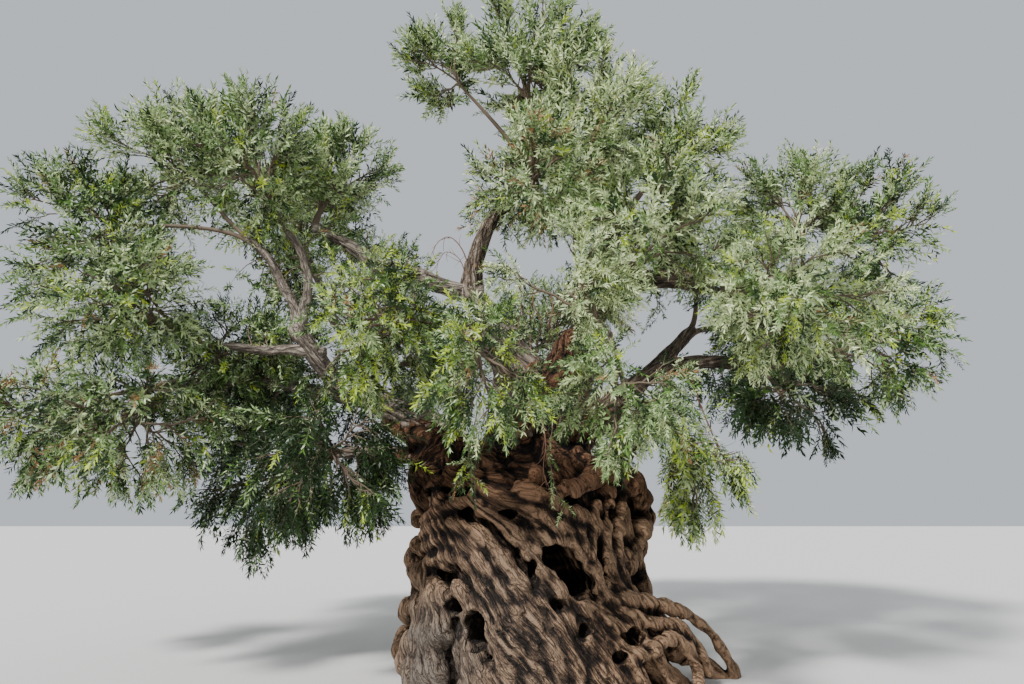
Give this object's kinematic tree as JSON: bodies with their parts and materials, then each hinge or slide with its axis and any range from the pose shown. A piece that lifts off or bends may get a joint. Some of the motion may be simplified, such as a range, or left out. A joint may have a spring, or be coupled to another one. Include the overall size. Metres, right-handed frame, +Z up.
{
  "type": "olive tree",
  "caption": "Ancient olive tree: squat, rope-twisted and partly hollow trunk on a flared root foot, spreading limbs, and an open silver-green crown.",
  "frame": {"origin": "on the flat cut under the trunk at ground level, near the middle of the trunk's foot", "axes": "+Z up along the trunk, +X to the viewer's right along the crown's widest reach, -Y towards the viewer"},
  "size_m": [9.9135, 6.5337, 7.0883],
  "materials": {
    "trunk_bark": "rough, furrowed, brown-grey bark",
    "limb_bark": "rough, grey-brown bark",
    "foliage": "leathery grey-green leaves on thin twigs"
  },
  "bodies": {
    "root": {"bough_back": "limb_bark", "bough_back_left": "limb_bark", "bough_back_left_high": "limb_bark", "bough_back_right": "limb_bark", "bough_front_left": "limb_bark", "bough_front_right": "limb_bark", "bough_left": "limb_bark", "bough_left_high": "limb_bark", "bough_left_inner": "limb_bark", "bough_left_outer": "limb_bark", "bough_left_side": "limb_bark", "bough_left_skirt": "limb_bark", "bough_left_under": "limb_bark", "bough_right_arch": "limb_bark", "bough_right_far": "limb_bark", "bough_right_front": "limb_bark", "bough_right_high": "limb_bark", "bough_right_low": "limb_bark", "bough_top": "limb_bark", "crown_back": "foliage", "crown_back_heart": "foliage", "crown_back_left": "foliage", "crown_back_left_top": "foliage", "crown_back_low": "foliage", "crown_back_right": "foliage", "crown_back_right_top": "foliage", "crown_back_top": "foliage", "crown_far_left": "foliage", "crown_front_left": "foliage", "crown_front_right": "foliage", "crown_front_top": "foliage", "crown_left_bright": "foliage", "crown_left_dark": "foliage", "crown_left_heart": "foliage", "crown_left_inner": "foliage", "crown_left_lobe": "foliage", "crown_left_low": "foliage", "crown_left_middle": "foliage", "crown_left_skirt": "foliage", "crown_left_tip": "foliage", "crown_left_top": "foliage", "crown_right_bright": "foliage", "crown_right_edge": "foliage", "crown_right_far": "foliage", "crown_right_heart": "foliage", "crown_right_low": "foliage", "crown_right_top": "foliage", "crown_right_weeping": "foliage", "crown_top": "foliage", "crown_top_arm": "foliage", "crown_top_far": "foliage", "crown_top_right": "foliage", "crown_upper": "foliage", "crown_upper_right": "foliage", "leader_left": "limb_bark", "leader_right": "limb_bark", "trunk": "trunk_bark"}
  },
  "joints": []
}
